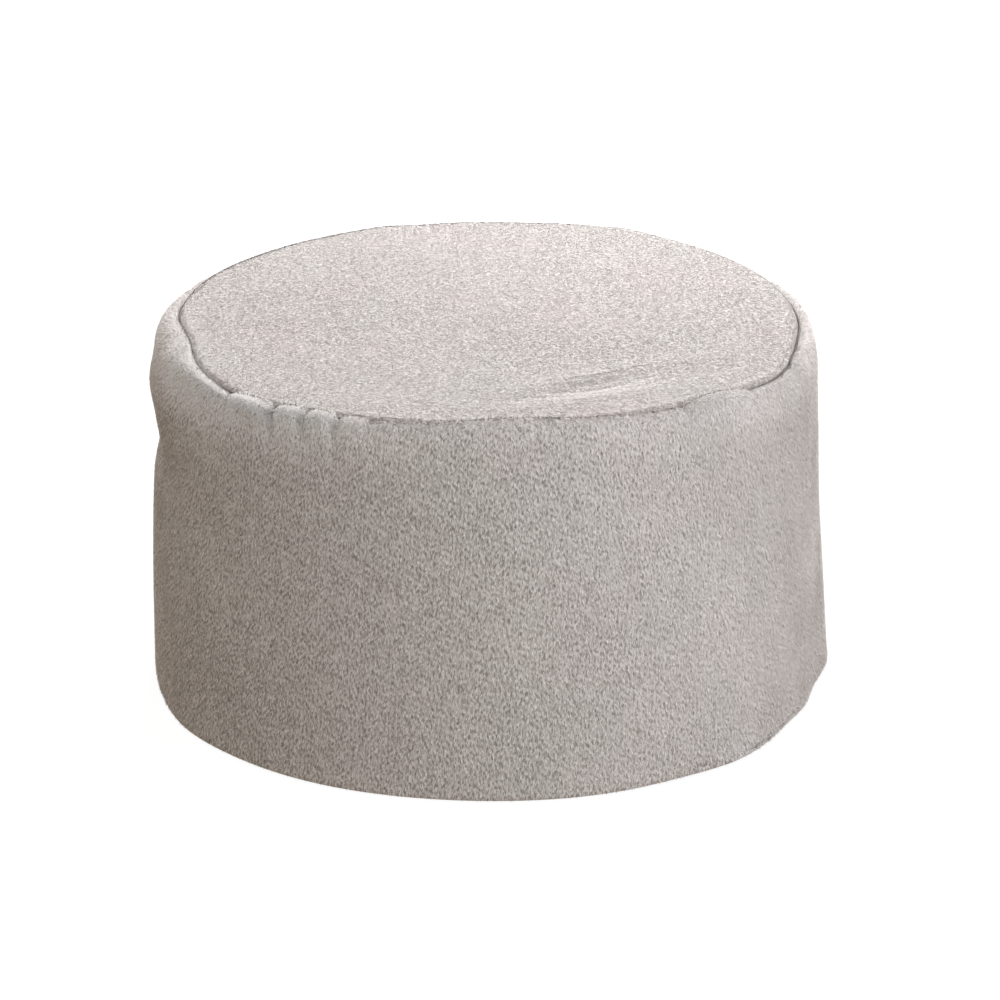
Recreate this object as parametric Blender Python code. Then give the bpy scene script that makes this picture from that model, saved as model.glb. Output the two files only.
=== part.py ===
"""Round floor pouf of short-pile plush: a filled drum with a side band, a crowned top panel and a flat base.

Metres, +Z up. The origin is the middle of the base on the floor, and the side seen first faces -Y.
Angles run anticlockwise from +X seen from above, in degrees, so 270 is the middle of the front.
"""

import math

import bmesh
import bpy
import numpy as np

# Driving sizes, pile included
FOOT_RADIUS = 0.2800        # side band just above the floor
SHOULDER_RADIUS = 0.2680    # side band where it starts to turn in at the top
SEAM_RADIUS = 0.2520        # seam between side band and top panel
SEAM_HEIGHT = 0.2980        # its stitches on average, at the bottom of their valley
PUFF = 0.0050               # top panel over its seam once it has rolled up out of it
ROLL = 0.0060               # how far inside the seam that is
CROWN_RISE = 0.0125         # middle of the top panel over its rolled edge
LEAN = -0.0150              # slope of the drum's axis, along X per unit of height
SLOPE = 0.0140              # slope of the top, up towards -Y
CLOTH = 0.0030              # plush with its pile lying flat
GAP = 0.0004                # half the slit between pieces sewn edge to edge, and all of it between layers

# Shoulder: the side band rounds over to a crest, then drops into the seam
SHOULDER_DROP = 0.0280      # from the crest down to where the turn begins
FRONT_DROP = 0.0120         # how much less that is at the front, where the turn is tighter
FRONT_ANGLE = 275
FRONT_WIDTH = 40            # half the stretch of the tighter turn, in degrees
CREST_INSET = 0.0060        # crest outside the seam
CREST_RISE = 0.0040         # crest over the seam where the cloth lies smooth

# Foot: the base panel lies flat, then turns up to its seam
BASE_SEAM_INSET = 0.0026    # base seam inside the foot radius
BASE_SEAM_HEIGHT = 0.0036
BASE_SEAM_LIFT = 0.0060     # more height at the front right, where the filling pushes out
BASE_LIFT_ANGLE = 322
BASE_LIFT_WIDTH = 30        # half the stretch of the lift, in degrees
BASE_FLAT_INSET = 0.0240    # where the base panel leaves the floor
FOOT_HEIGHT = 0.0100        # where the side band is at its foot radius

# Soft gathers of the side band along the top seam: each lifts the crest and swells the shoulder
GATHERS = [  # angle_deg, half_width_deg, rise, swell
    (177, 9.0, 0.0030, 0.0026),
    (196, 8.0, 0.0030, 0.0030),
    (225, 13.0, -0.0030, 0.0040),
    (248, 5.0, -0.0010, 0.0005),
    (275, 20.0, 0.0055, -0.0050),
    (292, 7.0, 0.0015, 0.0000),
    (313, 6.0, 0.0024, 0.0030),
    (325, 14.0, -0.0010, 0.0060),
    (341, 3.0, 0.0015, 0.0015),
    (352, 5.0, 0.0010, 0.0015),
    (15, 6.0, 0.0000, 0.0020),
    (40, 30.0, -0.0030, 0.0020),
    (57, 10.0, 0.0015, 0.0030),
    (90, 34.0, -0.0030, 0.0010),
    (113, 8.0, 0.0010, 0.0020),
    (140, 30.0, -0.0030, 0.0020),
    (153, 7.0, 0.0000, 0.0020),
]

# Tight gathers, pushed up between stitches: side by side they leave sharp tucks
LOBES = [  # from_deg, to_deg, rise, overhang, swell
    (221.6, 232.0, 0.0054, 0.0054, 0.0060),
    (232.0, 238.2, 0.0042, 0.0046, 0.0048),
    (238.2, 244.2, 0.0036, 0.0042, 0.0042),
    (244.2, 250.0, 0.0016, 0.0024, 0.0018),
    (306.0, 320.5, 0.0036, 0.0034, 0.0020),
    (66.0, 76.0, 0.0015, 0.0030, 0.0025),
    (120.0, 128.0, 0.0020, 0.0030, 0.0025),
]
LOBE_FADE = 0.0220          # how far down the wall a tight gather shows

# Where the top seam wanders from its circle and its level
SEAM_WANDER = [  # angle_deg, half_width_deg, outwards, upwards
    (191, 14, -0.0105, 0.0000),
    (225, 16, 0.0080, 0.0000),
    (274, 18, -0.0100, 0.0000),
    (328, 15, 0.0120, 0.0000),
    (40, 34, 0.0020, 0.0010),
    (66, 12, 0.0000, 0.0035),
    (90, 40, 0.0030, 0.0015),
    (109, 8, 0.0000, 0.0022),
    (140, 34, 0.0010, 0.0010),
]

# Where the top panel stands prouder of its seam and hides it
TOP_PUFFS = [  # angle_deg, half_width_deg, rise
    (25, 24, 0.0035),
    (58, 30, 0.0052),
    (68, 6, -0.0020),
    (92, 16, 0.0015),
    (106, 6, -0.0016),
    (122, 30, 0.0040),
    (158, 20, 0.0035),
]

# Where the foot is drawn in under the drum, as distance inwards
FOOT_PULLS = [  # angle_deg, half_width_deg, inwards
    (347, 12, 0.0080),
    (1, 9, -0.0025),
    (331, 8, 0.0032),
    (314, 11, -0.0062),
    (266, 34, 0.0080),
    (208, 13, -0.0030),
    (60, 20, 0.0030),
    (135, 18, 0.0025),
]

# Broad hollows and swells of the side band, as depth inwards
HOLLOWS = [  # angle_deg, height, half_width_deg, half_height, depth
    (184, 0.258, 16, 0.018, -0.0046),
    (183, 0.208, 17, 0.022, 0.0050),
    (180, 0.110, 26, 0.100, -0.0025),
    (214, 0.185, 12, 0.040, 0.0030),
    (250, 0.110, 16, 0.080, -0.0015),
    (322, 0.200, 12, 0.045, 0.0025),
    (338, 0.060, 9, 0.030, 0.0030),
    (352, 0.150, 14, 0.060, 0.0015),
    (30, 0.160, 16, 0.055, 0.0025),
    (75, 0.110, 18, 0.060, -0.0020),
    (110, 0.190, 14, 0.040, 0.0030),
    (150, 0.090, 16, 0.050, 0.0020),
]

# Shallow forms of the top panel, as depth downwards
DIMPLES = [  # angle_deg, distance, half_along, half_across, depth
    (262, 0.085, 0.110, 0.060, 0.0040),
    (300, 0.172, 0.090, 0.015, -0.0014),
    (292, 0.195, 0.070, 0.016, 0.0025),
    (205, 0.170, 0.050, 0.070, 0.0020),
    (332, 0.185, 0.060, 0.045, 0.0030),
    (60, 0.120, 0.090, 0.070, -0.0020),
    (130, 0.150, 0.070, 0.060, 0.0020),
]

# Columns of the mesh: finer where the seam is gathered
SECTORS = [  # from_deg, to_deg, steps
    (0, 60, 13),
    (60, 80, 10),
    (80, 116, 8),
    (116, 132, 8),
    (132, 204, 16),
    (204, 221.6, 6),
    (221.6, 232, 9),
    (232, 238.2, 7),
    (238.2, 244.2, 7),
    (244.2, 250, 5),
    (250, 298, 12),
    (298, 306, 3),
    (306, 320.5, 9),
    (320.5, 330, 3),
    (330, 360, 9),
]

# Rings of the mesh
TOP_INSETS = (0.0, 0.0005, 0.0018, 0.0036, 0.0060, 0.022, 0.06, 0.12, 0.19)
BASE_SHARES = (1.0, 0.97, 0.94, 0.91, 0.5)
WALL_SHARES = (0.0, 0.15, 0.32, 0.48, 0.64, 0.78, 0.9)
SHOULDER_DEGREES = (0, 24, 44, 62, 77, 90)
LIP_DEGREES = (50, 90)      # from the crest, 0, down to the seam, 90
FOOT_ROUND = ((0.6, -0.5), (0.95, 0.6))     # from the base seam: shares of its inset out, of the cloth up
SWELL_POWER = 3             # how soon a soft gather's swell dies out down the wall
BELL_WIDTH = 0.6            # a hump's standard deviation, as a share of its half width
SMOOTH_DEGREES = 50         # edges sharper than this are drawn as creases


def bell(offset, half_width):
    """A smooth hump, 1 in the middle and nearly 0 at twice its half width."""
    return np.exp(-0.5 * (offset / (BELL_WIDTH * half_width)) ** 2)


def turn(angle, middle):
    """Signed degrees from middle to angle, the short way round."""
    return (angle - middle + 180) % 360 - 180


def polar(distance, angle):
    """(x, y) at a distance from the axis."""
    return distance * np.cos(np.radians(angle)), distance * np.sin(np.radians(angle))


def seam_radius(angle):
    return SEAM_RADIUS + sum(outwards * bell(turn(angle, at), half) for at, half, outwards, _ in SEAM_WANDER)


def seam_height(angle):
    lift = sum(upwards * bell(turn(angle, at), half) for at, half, _, upwards in SEAM_WANDER)
    return SEAM_HEIGHT + lift - SLOPE * polar(seam_radius(angle), angle)[1]


def foot_radius(angle):
    return FOOT_RADIUS - sum(inwards * bell(turn(angle, at), half) for at, half, inwards in FOOT_PULLS)


def soft_gathers(angle):
    """How far the crest is lifted and the shoulder swollen."""
    rise = sum(up * bell(turn(angle, at), half) for at, half, up, _ in GATHERS)
    swell = sum(out * bell(turn(angle, at), half) for at, half, _, out in GATHERS)
    return rise, swell


def tight_gathers(angle):
    """How far the crest is lifted, leans in over the seam and bulges out: an arch over each gather."""
    form = 0
    for start, end, rise, overhang, swell in LOBES:
        across = turn(angle, (start + end) / 2) / ((end - start) / 2)
        arch = np.sqrt(np.maximum(0.0, 1 - across**2))
        form = form + arch * np.array([rise, overhang, swell]).reshape(3, 1)
    return form


def hollow(angle, height):
    return sum(
        depth * bell(turn(angle, at), half) * bell(height - level, tall)
        for at, level, half, tall, depth in HOLLOWS
    )


def base_seam_height(angle):
    return BASE_SEAM_HEIGHT + BASE_SEAM_LIFT * bell(turn(angle, BASE_LIFT_ANGLE), BASE_LIFT_WIDTH)


def foot_rings(angle):
    """(radius, height) of the side band where it rounds the edge of the base panel."""
    low = base_seam_height(angle)
    seam = foot_radius(angle) - BASE_SEAM_INSET
    rings = [(seam + GAP, low + GAP), (seam + GAP, low - CLOTH + GAP)]
    return rings + [(seam + out * BASE_SEAM_INSET, low + up * CLOTH) for out, up in FOOT_ROUND]


def wall_rings(angle, shares, degrees, lip):
    """(radius, height) of the side band up the wall at these shares of its height, over the shoulder at these
    degrees of its turn, and from the crest down to the top seam at these degrees of its lip."""
    foot = foot_radius(angle)
    rise, swell = soft_gathers(angle)
    lift, overhang, bulge = tight_gathers(angle)
    low = seam_height(angle)
    crest = low + CREST_RISE + rise + lift
    drop = SHOULDER_DROP - FRONT_DROP * bell(turn(angle, FRONT_ANGLE), FRONT_WIDTH)
    turn_in = crest - drop
    seam = seam_radius(angle)
    inner = seam + CREST_INSET - overhang
    rings = []
    for share in shares:
        height = FOOT_HEIGHT + share * (turn_in - FOOT_HEIGHT)
        rings.append((foot + share * (SHOULDER_RADIUS - foot) + share**SWELL_POWER * swell, height))
    for degree in degrees:
        out, up = polar(1, degree)
        rings.append((inner + (SHOULDER_RADIUS + swell - inner) * out, turn_in + drop * up))
    for degree in lip:
        over, inwards = polar(1, degree)
        rings.append((inner - inwards * (inner - seam - GAP), low + over * (crest - low)))
    return [(r + bulge * bell(crest - z, LOBE_FADE) * (r > inner) - hollow(angle, z), z) for r, z in rings]


def top_height(angle, distance):
    """Upper face of the top panel: it rolls up out of the seam, then rises to its crown."""
    seam = seam_radius(angle)
    share = distance / seam
    level = SEAM_HEIGHT + share**2 * (seam_height(angle) - SEAM_HEIGHT)
    puff = PUFF + share**4 * sum(rise * bell(turn(angle, at), half) for at, half, rise in TOP_PUFFS)
    height = CROWN_RISE * (1 - share**2)
    for middle, far, along, across, depth in DIMPLES:
        outwards, sideways = polar(distance, angle - middle)
        height = height - depth * bell(sideways, along) * bell(outwards - far, across)
    tilt = np.maximum(0.0, 1 - (seam - distance) / ROLL)
    return level + (puff + height) * np.sqrt(np.maximum(0.0, 1 - tilt**2))


def top_rings(angle, insets, drop):
    """(radius, height) of the top panel's upper face at these distances inside its rim, moved in by drop."""
    rim = seam_radius(angle) - GAP
    rings = []
    for inset in insets:
        tilt = max(0.0, 1 - inset / ROLL)
        rings.append((rim - inset - drop * tilt, top_height(angle, rim - inset) - drop))
    return rings


def base_rings(angle, shares, lift):
    """(radius, height) of the base panel's underside at these shares of its radius, raised by lift."""
    rim = foot_radius(angle) - BASE_SEAM_INSET - GAP
    flat = foot_radius(angle) - BASE_FLAT_INSET
    low = base_seam_height(angle) - CLOTH
    rings = []
    for share in shares:
        climb = np.maximum(0.0, (share * rim - flat) / (rim - flat))
        rings.append((share * rim, low * climb**2 + lift))
    return rings


def columns():
    """The angle of each column of the mesh."""
    return np.concatenate([start + (end - start) * np.arange(steps) / steps for start, end, steps in SECTORS])


def loft(name, rings, low_middle, high_middle):
    """A closed solid between two points on the axis, through rings of (radius, height) from the low point to
    the high one. Each quad is cut from its wide edge to its narrow one the same way round, so that two lofts
    of one surface stay parallel."""
    mesh = bmesh.new()
    low = mesh.verts.new((LEAN * low_middle, 0, low_middle))
    high = mesh.verts.new((LEAN * high_middle, 0, high_middle))
    angle = columns()
    rows = []
    for radius, height in rings:
        x, y = polar(radius, angle)
        z = height + 0 * angle
        corners = [mesh.verts.new(place) for place in zip((x + LEAN * z).tolist(), y.tolist(), z.tolist())]
        rows.append((radius, corners))
    for k in range(len(angle)):
        beside = (k + 1) % len(angle)
        mesh.faces.new((low, rows[0][1][beside], rows[0][1][k]))
        mesh.faces.new((high, rows[-1][1][k], rows[-1][1][beside]))
        for (wide, below), (narrow, above) in zip(rows, rows[1:]):
            a, b, c, d = below[k], below[beside], above[beside], above[k]
            if wide[k] >= narrow[k]:
                mesh.faces.new((a, b, c))
                mesh.faces.new((a, c, d))
            else:
                mesh.faces.new((a, b, d))
                mesh.faces.new((b, c, d))
    data = bpy.data.meshes.new(name)
    mesh.to_mesh(data)
    mesh.free()
    data.shade_smooth()
    data.set_sharp_from_angle(angle=math.radians(SMOOTH_DEGREES))
    piece = bpy.data.objects.new(name, data)
    bpy.context.scene.collection.objects.link(piece)
    return piece


def plush(name, colour, roughness):
    material = bpy.data.materials.new(name)
    material.use_nodes = True
    shader = material.node_tree.nodes["Principled BSDF"]
    shader.inputs["Base Color"].default_value = (*colour, 1)
    shader.inputs["Roughness"].default_value = roughness
    shader.inputs["Metallic"].default_value = 0.0
    return material


def side_band():
    """The filled drum inside its side band, open to nothing: the panels lie on its two ends."""
    angle = columns()
    under = base_rings(angle, BASE_SHARES[::-1], CLOTH + GAP)
    wall = foot_rings(angle) + wall_rings(angle, WALL_SHARES, SHOULDER_DEGREES, LIP_DEGREES)
    ledge = [(wall[-1][0], seam_height(angle) - CLOTH - GAP)]
    over = top_rings(angle, TOP_INSETS, CLOTH + GAP)
    piece = loft("side_band", under + wall + ledge + over, CLOTH + GAP, crown() - CLOTH - GAP)
    piece.data.materials.append(plush("band_plush", (0.50, 0.46, 0.43), 0.95))


def top_panel():
    angle = columns()
    rings = top_rings(angle, TOP_INSETS, CLOTH)[::-1] + top_rings(angle, TOP_INSETS, 0)
    piece = loft("top_panel", rings, crown() - CLOTH, crown())
    piece.data.materials.append(plush("top_plush", (0.58, 0.54, 0.51), 0.92))


def base_panel():
    angle = columns()
    rings = base_rings(angle, BASE_SHARES[::-1], 0) + base_rings(angle, BASE_SHARES, CLOTH)
    piece = loft("base_panel", rings, 0, CLOTH)
    piece.data.materials.append(plush("base_plush", (0.42, 0.39, 0.36), 0.95))


def crown():
    """Height of the top panel's middle."""
    return float(top_height(0, 0))


for leftover in list(bpy.data.objects):
    bpy.data.objects.remove(leftover, do_unlink=True)
side_band()
top_panel()
base_panel()
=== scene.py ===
"""The looks of a round floor pouf: plush cloth over its filled drum, the short pile on it, and a soft studio.

Metres, +Z up. The origin is the middle of the base on the floor, and the side seen first faces -Y.
Angles run anticlockwise from +X seen from above, in degrees, so 270 is the middle of the front.
"""

import math

import bpy
import numpy as np
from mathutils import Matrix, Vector


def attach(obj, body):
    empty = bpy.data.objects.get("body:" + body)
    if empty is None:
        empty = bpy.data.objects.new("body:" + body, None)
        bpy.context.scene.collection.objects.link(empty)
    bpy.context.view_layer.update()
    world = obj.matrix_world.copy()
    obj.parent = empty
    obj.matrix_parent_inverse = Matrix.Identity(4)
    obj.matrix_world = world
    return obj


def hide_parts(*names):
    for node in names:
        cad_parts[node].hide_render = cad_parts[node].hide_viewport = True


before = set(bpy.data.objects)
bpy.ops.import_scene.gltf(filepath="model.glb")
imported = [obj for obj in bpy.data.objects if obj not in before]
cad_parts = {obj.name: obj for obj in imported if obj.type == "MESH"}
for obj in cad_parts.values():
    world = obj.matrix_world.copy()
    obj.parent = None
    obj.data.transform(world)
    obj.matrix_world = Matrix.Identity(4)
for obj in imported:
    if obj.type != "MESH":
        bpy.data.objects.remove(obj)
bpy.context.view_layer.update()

# Driving sizes, pile included
FOOT_RADIUS = 0.2800        # side band just above the floor
SHOULDER_RADIUS = 0.2680    # side band where it starts to turn in at the top
SEAM_RADIUS = 0.2520        # seam between side band and top panel
SEAM_HEIGHT = 0.2980        # its stitches on average, at the bottom of their valley
PUFF = 0.0050               # top panel over its seam once it has rolled up out of it
ROLL = 0.0060               # how far inside the seam that is
CROWN_RISE = 0.0125         # middle of the top panel over its rolled edge
LEAN = -0.0150              # slope of the drum's axis, along X per unit of height
SLOPE = 0.0140              # slope of the top, up towards -Y
CLOTH = 0.0030              # plush with its pile lying flat
GAP = 0.0004                # half the slit between pieces sewn edge to edge, and all of it between layers

# Shoulder: the side band rounds over to a crest, then drops into the seam
SHOULDER_DROP = 0.0280      # from the crest down to where the turn begins
FRONT_DROP = 0.0120         # how much less that is at the front, where the turn is tighter
FRONT_ANGLE = 275
FRONT_WIDTH = 40            # half the stretch of the tighter turn, in degrees
CREST_INSET = 0.0060        # crest outside the seam
CREST_RISE = 0.0040         # crest over the seam where the cloth lies smooth

# Foot: the base panel lies flat, then turns up to its seam
BASE_SEAM_INSET = 0.0026    # base seam inside the foot radius
BASE_SEAM_HEIGHT = 0.0036
BASE_SEAM_LIFT = 0.0060     # more height at the front right, where the filling pushes out
BASE_LIFT_ANGLE = 322
BASE_LIFT_WIDTH = 30        # half the stretch of the lift, in degrees
BASE_FLAT_INSET = 0.0240    # where the base panel leaves the floor
FOOT_HEIGHT = 0.0100        # where the side band is at its foot radius

# Soft gathers of the side band along the top seam: each lifts the crest and swells the shoulder
GATHERS = [  # angle_deg, half_width_deg, rise, swell
    (177, 9.0, 0.0030, 0.0026),
    (196, 8.0, 0.0030, 0.0030),
    (225, 13.0, -0.0030, 0.0040),
    (248, 5.0, -0.0010, 0.0005),
    (275, 20.0, 0.0055, -0.0050),
    (292, 7.0, 0.0015, 0.0000),
    (313, 6.0, 0.0024, 0.0030),
    (325, 14.0, -0.0010, 0.0060),
    (341, 3.0, 0.0015, 0.0015),
    (352, 5.0, 0.0010, 0.0015),
    (15, 6.0, 0.0000, 0.0020),
    (40, 30.0, -0.0030, 0.0020),
    (57, 10.0, 0.0015, 0.0030),
    (90, 34.0, -0.0030, 0.0010),
    (113, 8.0, 0.0010, 0.0020),
    (140, 30.0, -0.0030, 0.0020),
    (153, 7.0, 0.0000, 0.0020),
]

# Tight gathers, pushed up between stitches: side by side they leave sharp tucks
LOBES = [  # from_deg, to_deg, rise, overhang, swell
    (221.6, 232.0, 0.0054, 0.0054, 0.0060),
    (232.0, 238.2, 0.0042, 0.0046, 0.0048),
    (238.2, 244.2, 0.0036, 0.0042, 0.0042),
    (244.2, 250.0, 0.0016, 0.0024, 0.0018),
    (306.0, 320.5, 0.0036, 0.0034, 0.0020),
    (66.0, 76.0, 0.0015, 0.0030, 0.0025),
    (120.0, 128.0, 0.0020, 0.0030, 0.0025),
]
LOBE_FADE = 0.0220          # how far down the wall a tight gather shows

# Where the top seam wanders from its circle and its level
SEAM_WANDER = [  # angle_deg, half_width_deg, outwards, upwards
    (191, 14, -0.0105, 0.0000),
    (225, 16, 0.0080, 0.0000),
    (274, 18, -0.0100, 0.0000),
    (328, 15, 0.0120, 0.0000),
    (40, 34, 0.0020, 0.0010),
    (66, 12, 0.0000, 0.0035),
    (90, 40, 0.0030, 0.0015),
    (109, 8, 0.0000, 0.0022),
    (140, 34, 0.0010, 0.0010),
]

# Where the top panel stands prouder of its seam and hides it
TOP_PUFFS = [  # angle_deg, half_width_deg, rise
    (25, 24, 0.0035),
    (58, 30, 0.0052),
    (68, 6, -0.0020),
    (92, 16, 0.0015),
    (106, 6, -0.0016),
    (122, 30, 0.0040),
    (158, 20, 0.0035),
]

# Where the foot is drawn in under the drum, as distance inwards
FOOT_PULLS = [  # angle_deg, half_width_deg, inwards
    (347, 12, 0.0080),
    (1, 9, -0.0025),
    (331, 8, 0.0032),
    (314, 11, -0.0062),
    (266, 34, 0.0080),
    (208, 13, -0.0030),
    (60, 20, 0.0030),
    (135, 18, 0.0025),
]

# Broad hollows and swells of the side band, as depth inwards
HOLLOWS = [  # angle_deg, height, half_width_deg, half_height, depth
    (184, 0.258, 16, 0.018, -0.0046),
    (183, 0.208, 17, 0.022, 0.0050),
    (180, 0.110, 26, 0.100, -0.0025),
    (214, 0.185, 12, 0.040, 0.0030),
    (250, 0.110, 16, 0.080, -0.0015),
    (322, 0.200, 12, 0.045, 0.0025),
    (338, 0.060, 9, 0.030, 0.0030),
    (352, 0.150, 14, 0.060, 0.0015),
    (30, 0.160, 16, 0.055, 0.0025),
    (75, 0.110, 18, 0.060, -0.0020),
    (110, 0.190, 14, 0.040, 0.0030),
    (150, 0.090, 16, 0.050, 0.0020),
]

# Shallow forms of the top panel, as depth downwards
DIMPLES = [  # angle_deg, distance, half_along, half_across, depth
    (262, 0.085, 0.110, 0.060, 0.0040),
    (300, 0.172, 0.090, 0.015, -0.0014),
    (292, 0.195, 0.070, 0.016, 0.0025),
    (205, 0.170, 0.050, 0.070, 0.0020),
    (332, 0.185, 0.060, 0.045, 0.0030),
    (60, 0.120, 0.090, 0.070, -0.0020),
    (130, 0.150, 0.070, 0.060, 0.0020),
]

SWELL_POWER = 3             # how soon a soft gather's swell dies out down the wall
CROWN_POWER = 2             # how the top panel's level passes from its middle to its seam
PUFF_POWER = 4              # how soon its puffs die out towards its middle
BELL_WIDTH = 0.6            # a hump's standard deviation, as a share of its half width

# Narrow creases that the tight gathers leave in the side band
TUCKS = [  # angle_deg, half_width_deg, depth, length
    (221.6, 1.2, 0.0018, 0.012),
    (232.0, 1.1, 0.0032, 0.018),
    (238.2, 1.0, 0.0026, 0.014),
    (244.2, 1.0, 0.0026, 0.012),
    (250.0, 0.9, 0.0012, 0.012),
    (256.4, 0.6, 0.0014, 0.012),
    (306.0, 1.0, 0.0014, 0.012),
    (320.5, 1.0, 0.0016, 0.014),
    (336.0, 1.2, 0.0020, 0.012),
    (345.0, 1.0, 0.0020, 0.012),
    (66.0, 1.1, 0.0020, 0.016),
    (76.0, 1.1, 0.0018, 0.014),
    (120.0, 1.1, 0.0020, 0.016),
    (128.0, 1.1, 0.0018, 0.014),
    (160.0, 1.1, 0.0014, 0.014),
    (26.0, 1.1, 0.0012, 0.014),
]

# The filling presses the side band out between its two seams
SLACK = 0.0006              # how far under its filled form the band starts
PRESSURE = 4.0
MOST_MOVED = 0.0010         # no point of the band moves further than this
PRESS_FRAMES = 20
FOOT_FADE = 4               # rings over which it is let go above the foot
FOOT_HELD = 0.5             # rings held still before those, as a share of them
CREST_FADE = 12             # the same down from the top seam, where the tight gathers keep their form
CREST_HELD = 0.8

# Fineness of the cloth, round it and then up and across it
SECTORS = [  # from_deg, to_deg, steps
    (0, 66, 56),
    (66, 76, 14),
    (76, 120, 36),
    (120, 128, 12),
    (128, 204, 62),
    (204, 221.6, 22),
    (221.6, 232, 24),
    (232, 238.2, 16),
    (238.2, 244.2, 16),
    (244.2, 250, 12),
    (250, 306, 56),
    (306, 320.5, 20),
    (320.5, 360, 36),
]
WALL_SHARES = np.linspace(0, 1, 41)[:-1]
SHOULDER_DEGREES = np.linspace(0, 90, 16)
LIP_DEGREES = np.linspace(0, 90, 9)[1:]
FOOT_ROUND = ((0.35, -0.7), (0.7, -0.35), (0.9, 0.1), (0.97, 0.8))  # outwards and upwards from the base seam
ROLL_SHARES = 1 - np.cos(np.radians(np.linspace(0, 90, 9)))
NEARLY_MIDDLE = 0.9985      # the top panel's last ring, as a share of the way in
TOP_SHARES = NEARLY_MIDDLE * np.linspace(0, 1, 31)[1:] ** 1.1
BASE_SHARES = np.linspace(0, 1, 13)[1:] ** 0.3

# Pile: the backing lies this deep under the tips
BAND_PILE = 0.0016
TOP_PILE = 0.0012
SEAM_THINNING = 0.85        # how much less deep and long it is at the top seam
THIN_REACH = 0.0070
ROOT_DEPTH = 0.0004         # how far a stroke's root lies under the backing
FLOOR_CLEARANCE = 0.0003
STROKES_A_PIECE = 190000
NEARLY_EVEN = 0.001         # a cell of cloth that narrows by less than this counts as even
SEED = 7
WAVE_LENGTHS = (1.4, 3.2)   # shortest and longest wave of the smooth noise, in widths of a feature

# Strokes of pile: their number, length and width, how high their tips stand as a share of its depth, and how
# unevenly those tips turn to the light
BAND_STROKES = 512000
BAND_LENGTH = (0.0022, 0.0042)
BAND_WIDTH = (0.0008, 0.0014)
BAND_RISE = (0.2, 1.0)
BAND_TILT = 0.22
TOP_STROKES = 256000
TOP_LENGTH = (0.0028, 0.0048)
TOP_WIDTH = (0.0010, 0.0016)
TOP_RISE = (0.1, 0.4)
TOP_TILT = 0.035
RIM_STROKES = 36000
RIM_LENGTH = (0.0018, 0.0042)
RIM_WIDTH = (0.0004, 0.0008)
RIM_RISE = (0.4, 1.2)
RIM_TILT = 0.28

# How light the side band's pile is, from 0 to 1, and how that varies
BAND_SHADE = 0.605
BAND_FLECKS = 0.20          # from stroke to stroke
BAND_CLUMPS = 0.34          # from clump to clump
BAND_PATCHES = 0.03         # from patch to patch
TUCK_PAINTED_SHADE = 60             # painted shade: how much darker the pile is painted in a tuck's crease, for each metre of its depth
GRAIN = 0.0014              # a clump is about that wide
GRAIN_STRETCH = 0.6         # a clump's width as a share of its length
GRAIN_WAVES = 40
PATCH = 0.0500              # a patch is about that wide
RUFFLE = 0.95               # the contrast of flecks and clumps where no row of RUFFLED adds to it
FLUFF_CALM = 0.35           # how much of that contrast goes where the pile stands up
BAND_STRAY = 14             # degrees that a stroke lies off the brushed way
BAND_SWIRL = 5              # degrees that patches of them do
BAND_SWIRL_WIDTH = 0.0200

# The same for the top panel
TOP_SHADE = 0.135
SMOOTH_SPECKLE = 0.012      # contrast where its pile lies smooth
ROUGH_SPECKLE = 0.16        # how much more there is where it is rough
TOP_FLECKS = 0.5            # shares of flecks and clumps in that
TOP_CLUMPS = 1.2
TOP_GRAIN = 0.0018
TOP_PATCHES = 0.01
TOP_PATCH = 0.0300
TOP_MOTTLE = 0.015          # smaller patches
TOP_MOTTLE_WIDTH = 0.0060
# How much the top's brushed patches, and its painted light at the back, change its pile's shade
NAP_AND_LIGHT_STRENGTH = 0.42
TOP_LAY = (0.75, -0.65, 0.0)
TOP_STRAY = 12
TOP_SWIRL = 4
TOP_SWIRL_WIDTH = 0.0400
ROUGH_TILT = 1.5            # how much more unevenly it turns to the light where it is rough

# Along the seam at the front left the top's pile is rougher and combed outwards, and painted darker there as
# painted shade beside the seam
DARK_ANGLE = 236
DARK_WIDTH = 52             # half that stretch, in degrees
DARK_REACH = 0.0200
SEAM_SIDE_PAINTED_SHADE = 0.20
DARK_ROUGHNESS = 0.25
DARK_COMB = 3

# At the left the top's rolled edge is lighter: painted light on its roll into the seam, against the shade
# there
LIGHT_ANGLE = 192
LIGHT_WIDTH = 26            # half that stretch, in degrees
ROLL_PAINTED_LIGHT = 0.20
ROLLED_REACH = 0.0060

# Loose pile along the crest: most of it at the front left and over the tight gathers
RIM_RINGS = (11, 3)         # how many rings below the lip it starts, and how many short of the seam it ends
RIM_ANGLE = 210
RIM_WIDTH_AROUND = 40       # half the stretch where it is crowded, in degrees
RIM_FEWEST = 0.3
RIM_OVER_LOBES = 3
LOBE_OVERHANG = 0.0050      # the overhang of a tight gather that has that much of it
RIM_THICKENING = 1.8        # how soon it gets to its full number, up from the shoulder
RIM_STRAY = 50
RIM_SHADE = 0.31
RIM_FLECKS = 0.26
STANDING = 0.35             # how tall it stands all round
STANDING_MORE = 0.65        # how much taller where it is crowded
STANDING_WIDTH = 50

# Round the crest the pile stands up and turns to the light above, most of all at the left
FLUFFED = [  # angle_deg, half_width_deg, share
    (203, 46, 1.9),
    (235, 22, 0.6),
    (325, 40, 0.7),
    (90, 60, 0.7),
]
FLUFF_HEIGHT = 0.0330       # how far below the crest that shows
CREST_PAINTED_LIGHT = 0.26            # painted light: how much paler the pile is painted where it stands up to the light above
ROLL_FLUFF = 2.6            # the same on the top panel where it rolls into its seam
ROLL_FLUFF_REACH = 0.0070

# Below each tight gather the pile fans out to the two sides by so many degrees, this far down
FAN_DEGREES = 45
FAN_LENGTH = 0.035

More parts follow.
